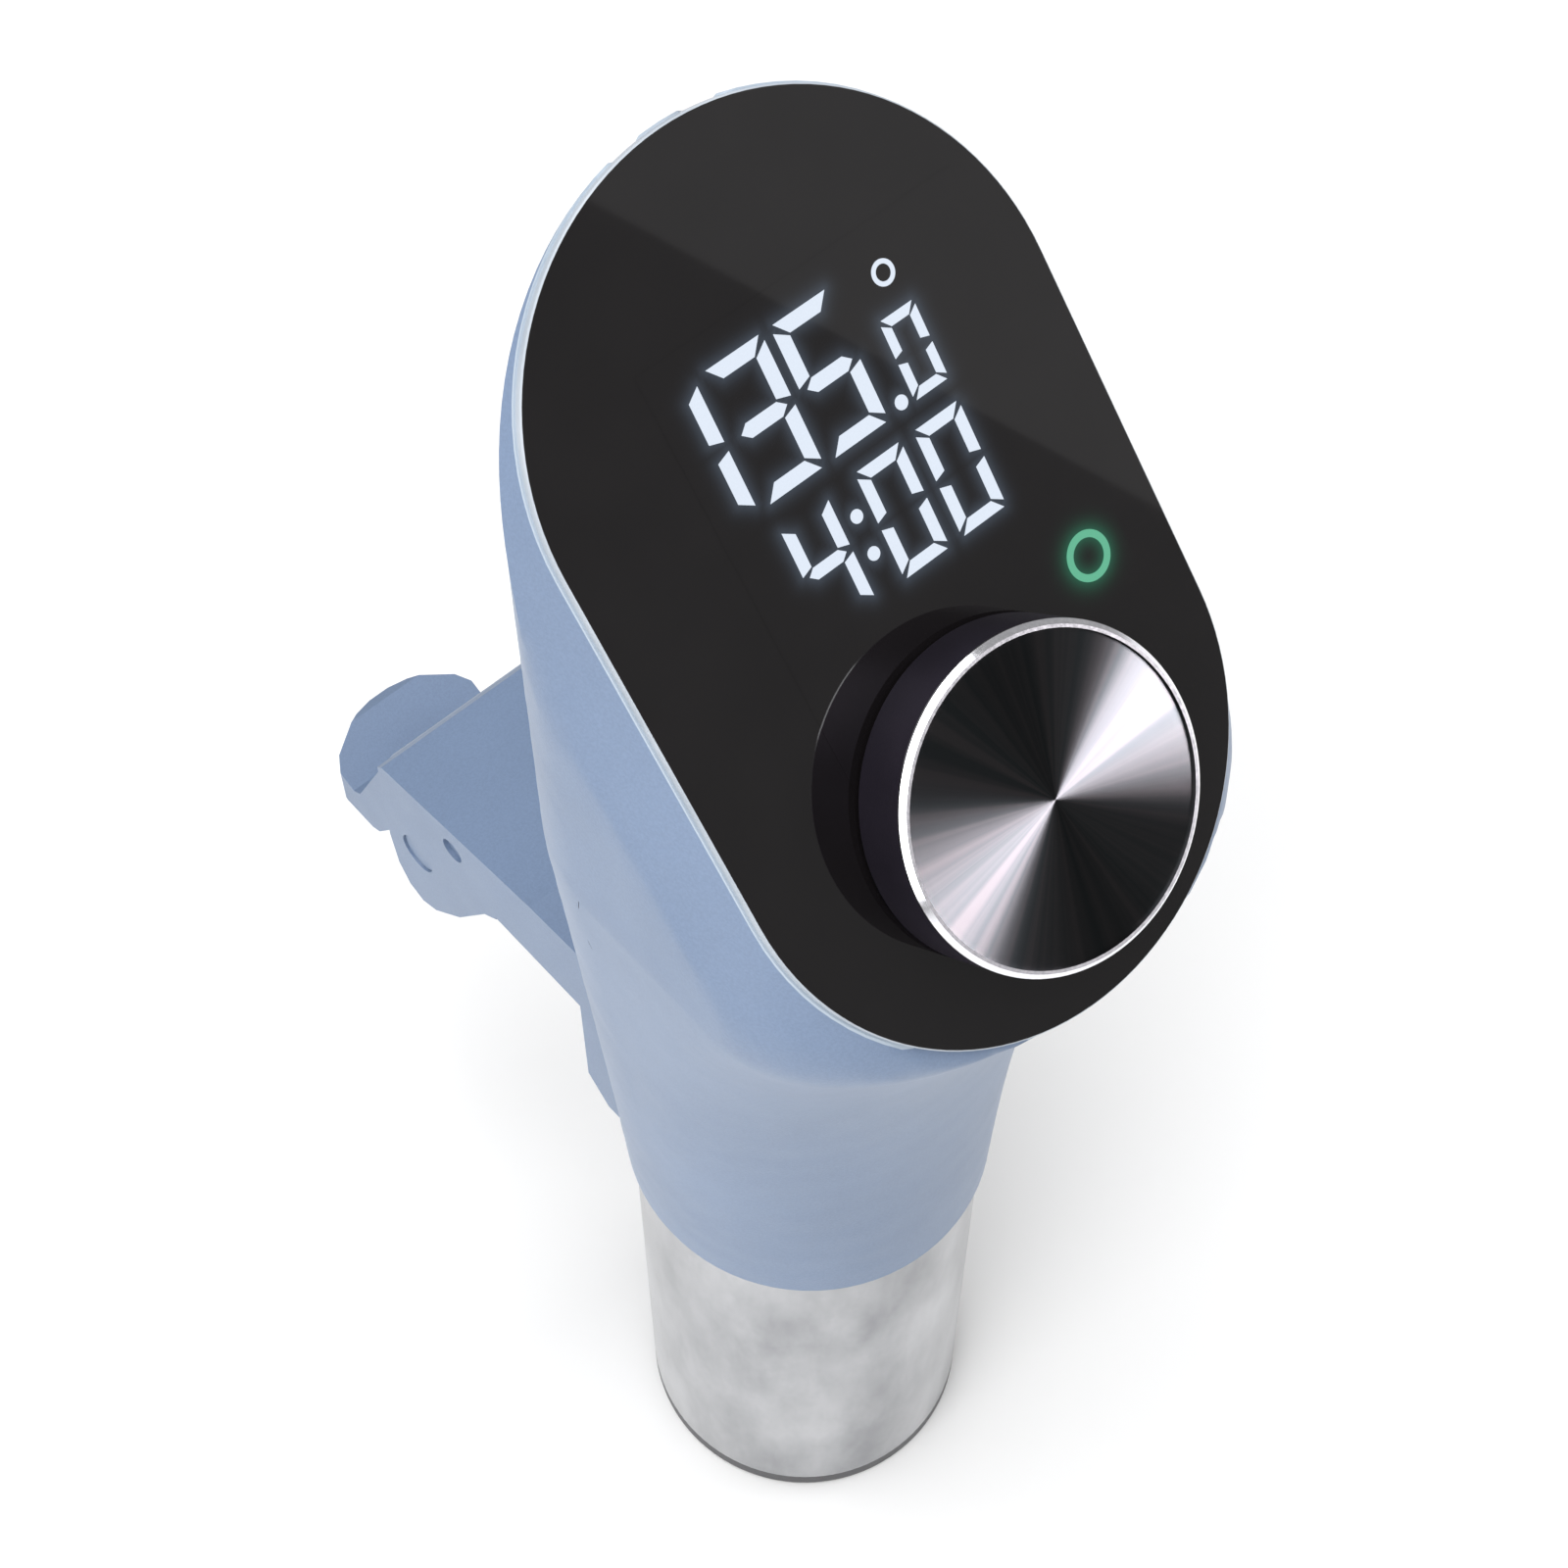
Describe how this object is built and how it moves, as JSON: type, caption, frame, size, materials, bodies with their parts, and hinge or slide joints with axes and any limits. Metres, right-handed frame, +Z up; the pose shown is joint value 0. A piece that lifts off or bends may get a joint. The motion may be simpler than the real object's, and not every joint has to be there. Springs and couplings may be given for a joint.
{
  "type": "sous vide circulator",
  "caption": "Immersion circulator with a sloped glass control face, turning knob, steel sleeve, spring clip for a pot wall, motor, impeller and heater.",
  "frame": {"origin": "centre of the bottom cap's underside, on the drive shaft's axis", "axes": "+Z up along the drive shaft, -Y towards the knob and control face, +Y towards the pot clip, +X to the right seen from the front"},
  "size_m": [0.0768, 0.1631, 0.2942],
  "materials": {
    "blue_shell": "soft-touch matte, fine grain",
    "blue_clip": "moulded matte",
    "black_glass": "gloss black tempered glass with a cut edge",
    "black_plastic": "moulded",
    "display": "segment display block",
    "circuit_board": "solder mask",
    "clear_plastic": "light guide",
    "zinc_steel": "zinc plated",
    "dark_anodised": "dark anodised",
    "bright_cut": "diamond cut",
    "spun_dark": "spun, radial highlights",
    "component_plastic": "component case",
    "can_aluminium": "drawn can",
    "lamination": "laminated steel",
    "stainless": "satin",
    "brushed_sleeve": "satin stainless tube",
    "wet_plastic": "moulded, water side",
    "seal_rubber": "seal",
    "grip_rubber": "ribbed grip",
    "spring_steel": "spring wire"
  },
  "bodies": {
    "housing": {"bearing_spider": "wet_plastic", "board_bracket": "black_plastic", "board_posts": "black_plastic", "board_screws": "zinc_steel", "board_standoffs": "zinc_steel", "body_pad": "grip_rubber", "bottom_cap": "wet_plastic", "bracket_screws": "zinc_steel", "bulkhead": "wet_plastic", "bulkhead_seal": "seal_rubber", "clip_bracket": "blue_clip", "cord_gland": "black_plastic", "display_bezel": "black_plastic", "display_board": "circuit_board", "display_module": "display", "encoder_body": "zinc_steel", "encoder_nut": "zinc_steel", "face_screws": "zinc_steel", "filter_capacitor": "can_aluminium", "gland_nut": "black_plastic", "glass_panel": "black_glass", "heater_element": "stainless", "heater_ferrules": "stainless", "hinge_pin": "blue_clip", "light_guide": "clear_plastic", "main_housing": "blue_shell", "motor_bearings": "zinc_steel", "motor_can": "zinc_steel", "motor_end_bell": "zinc_steel", "motor_mount": "zinc_steel", "motor_screws": "zinc_steel", "motor_stator": "lamination", "power_board": "circuit_board", "power_relay": "component_plastic", "shaft_seal": "seal_rubber", "steel_sleeve": "brushed_sleeve", "temperature_probe": "stainless", "terminal_block": "component_plastic", "torsion_spring": "spring_steel", "transformer": "component_plastic", "water_level_rods": "stainless"},
    "knob": {"knob_body": "dark_anodised", "knob_ring": "bright_cut", "knob_top": "spun_dark", "encoder_shaft": "zinc_steel"},
    "rotor": {"motor_rotor": "lamination", "motor_shaft": "stainless", "shaft_coupler": "black_plastic", "drive_shaft": "stainless", "impeller": "wet_plastic", "impeller_nut": "stainless"},
    "lever": {"clip_lever": "blue_clip", "jaw_pad": "grip_rubber"}
  },
  "joints": [
    {"name": "knob_turn", "type": "hinge", "parent": "housing", "child": "knob", "pos_m": [0, -0.03205, 0.23229], "axis": [0, -0.7431, 0.6691], "continuous": true},
    {"name": "rotor_spin", "type": "hinge", "parent": "housing", "child": "rotor", "pos_m": [0, 0, 0.05], "axis": [0, 0, 1], "continuous": true},
    {"name": "lever_swing", "type": "hinge", "parent": "housing", "child": "lever", "pos_m": [0, 0.067, 0.1155], "axis": [1, 0, 0], "range_deg": [0, 18], "stiffness_Nm_per_rad": 0.5, "springref_deg": -20.05}
  ]
}
